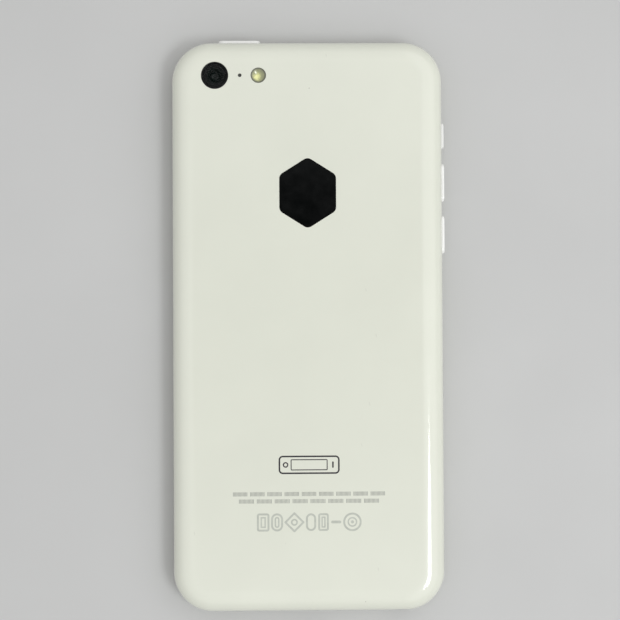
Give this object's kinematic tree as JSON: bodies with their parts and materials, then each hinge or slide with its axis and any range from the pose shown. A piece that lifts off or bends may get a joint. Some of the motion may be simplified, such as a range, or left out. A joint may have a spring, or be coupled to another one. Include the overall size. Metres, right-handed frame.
{
  "type": "smartphone",
  "caption": "Slim handheld phone with a one-piece glossy rear shell, a glass front with a round button, edge buttons, a camera and flash on the back, and a pull-out card tray.",
  "frame": {"origin": "centre of the outer face of the front glass, on which the phone lies", "axes": "+Z out of the phone's back, +Y towards its top end, +X towards the side with the volume buttons"},
  "size_m": [0.0597, 0.1249, 0.009],
  "materials": {
    "shell_gloss_white": "glossy moulded polycarbonate, warm white",
    "button_gloss_white": "glossy white",
    "front_glass_black": "polished, printed black round the display",
    "black_plastic": "satin black",
    "display_black": "unlit display",
    "stainless_steel": "pressed sheet, dull",
    "dark_metal": "dark satin",
    "screw_steel": "bright",
    "acoustic_mesh": "fine woven mesh",
    "sensor_violet": "infrared filter",
    "black_rubber": "matte",
    "lens_glass": "coated, polished",
    "flash_lens_clear": "clear over yellow phosphor",
    "led_phosphor": "matte",
    "board_black": "solder mask",
    "chip_black": "moulded",
    "battery_wrap": "satin film",
    "adhesive_white": "matte strip",
    "flex_film": "satin film",
    "contact_gold": "gold plated",
    "sim_card_white": "satin card"
  },
  "bodies": {
    "phone_body": {"rear_shell": "shell_gloss_white", "steel_frame": "stainless_steel", "bottom_screw_right": "screw_steel", "bottom_screw_left": "screw_steel", "cover_glass": "front_glass_black", "display_bezel": "black_plastic", "lcd_panel": "display_black", "lcd_shield_plate": "stainless_steel", "display_flex": "flex_film", "display_flex_plug": "black_plastic", "earpiece_speaker": "black_plastic", "earpiece_mesh": "acoustic_mesh", "front_camera": "black_plastic", "proximity_sensor": "sensor_violet", "home_button_seal": "black_rubber", "home_button_switch": "stainless_steel", "home_button_bracket": "stainless_steel", "volume_up_switch": "stainless_steel", "volume_down_switch": "stainless_steel", "ring_switch_module": "black_plastic", "side_button_bracket": "stainless_steel", "power_switch": "stainless_steel", "power_switch_bracket": "stainless_steel", "rear_camera_module": "black_plastic", "camera_trim_ring": "dark_metal", "camera_window": "lens_glass", "flash_lens": "flash_lens_clear", "flash_led": "led_phosphor", "rear_microphone": "contact_gold", "logic_board": "board_black", "processor_shield": "stainless_steel", "radio_shield": "stainless_steel", "main_processor": "chip_black", "radio_chip": "chip_black", "connector_cover": "stainless_steel", "battery": "battery_wrap", "battery_adhesive": "adhesive_white", "battery_connector": "black_plastic", "sim_card_reader": "stainless_steel", "vibration_motor": "stainless_steel", "loudspeaker": "black_plastic", "loudspeaker_mesh": "acoustic_mesh", "dock_connector": "stainless_steel", "dock_contacts": "contact_gold", "headphone_socket": "black_plastic", "bottom_microphone": "contact_gold", "bottom_flex": "flex_film"},
    "home_key": {"home_button": "black_plastic"},
    "volume_up_key": {"volume_up_button": "button_gloss_white"},
    "volume_down_key": {"volume_down_button": "button_gloss_white"},
    "ring_slider": {"ring_switch": "button_gloss_white"},
    "power_key": {"power_button": "button_gloss_white"},
    "focus_lens": {"rear_camera_lens": "lens_glass"},
    "card_drawer": {"sim_tray": "button_gloss_white", "sim_card": "sim_card_white"},
    "eject_lever": {"sim_eject_lever": "stainless_steel"},
    "eject_rod": {"sim_eject_rod": "stainless_steel"},
    "motor_rotor": {"motor_shaft": "stainless_steel", "vibration_weight": "dark_metal"}
  },
  "joints": [
    {"name": "home_press", "type": "slide", "parent": "phone_body", "child": "home_key", "axis": [0, 0, 1], "range_m": [0, 0.0003], "stiffness_N_per_m": 5000},
    {"name": "volume_up_press", "type": "slide", "parent": "phone_body", "child": "volume_up_key", "axis": [-1, 0, 0], "range_m": [0, 0.00025], "stiffness_N_per_m": 6000},
    {"name": "volume_down_press", "type": "slide", "parent": "phone_body", "child": "volume_down_key", "axis": [-1, 0, 0], "range_m": [0, 0.00025], "stiffness_N_per_m": 6000},
    {"name": "ring_slide", "type": "slide", "parent": "phone_body", "child": "ring_slider", "axis": [0, 0, 1], "range_m": [0, 0.0007]},
    {"name": "power_press", "type": "slide", "parent": "phone_body", "child": "power_key", "axis": [0, -1, 0], "range_m": [0, 0.00025], "stiffness_N_per_m": 6000},
    {"name": "focus_slide", "type": "slide", "parent": "phone_body", "child": "focus_lens", "axis": [0, 0, 1], "range_m": [0, 0.00025], "stiffness_N_per_m": 100},
    {"name": "tray_slide", "type": "slide", "parent": "phone_body", "child": "card_drawer", "axis": [-1, 0, 0], "range_m": [0, 0.02]},
    {"name": "lever_turn", "type": "hinge", "parent": "phone_body", "child": "eject_lever", "pos_m": [-0.0163, 0.0015, 0.0044], "axis": [0, 0, 1], "range_deg": [0, 18]},
    {"name": "rod_push", "type": "slide", "parent": "phone_body", "child": "eject_rod", "axis": [1, 0, 0], "range_m": [0, 0.00122]},
    {"name": "rotor_spin", "type": "hinge", "parent": "phone_body", "child": "motor_rotor", "pos_m": [0.0156, 0.0568, 0.00495], "axis": [1, 0, 0], "continuous": true}
  ],
  "couplings": [
    {"joint": "lever_turn", "follows": "rod_push", "rad_per_m": 256.41}
  ]
}
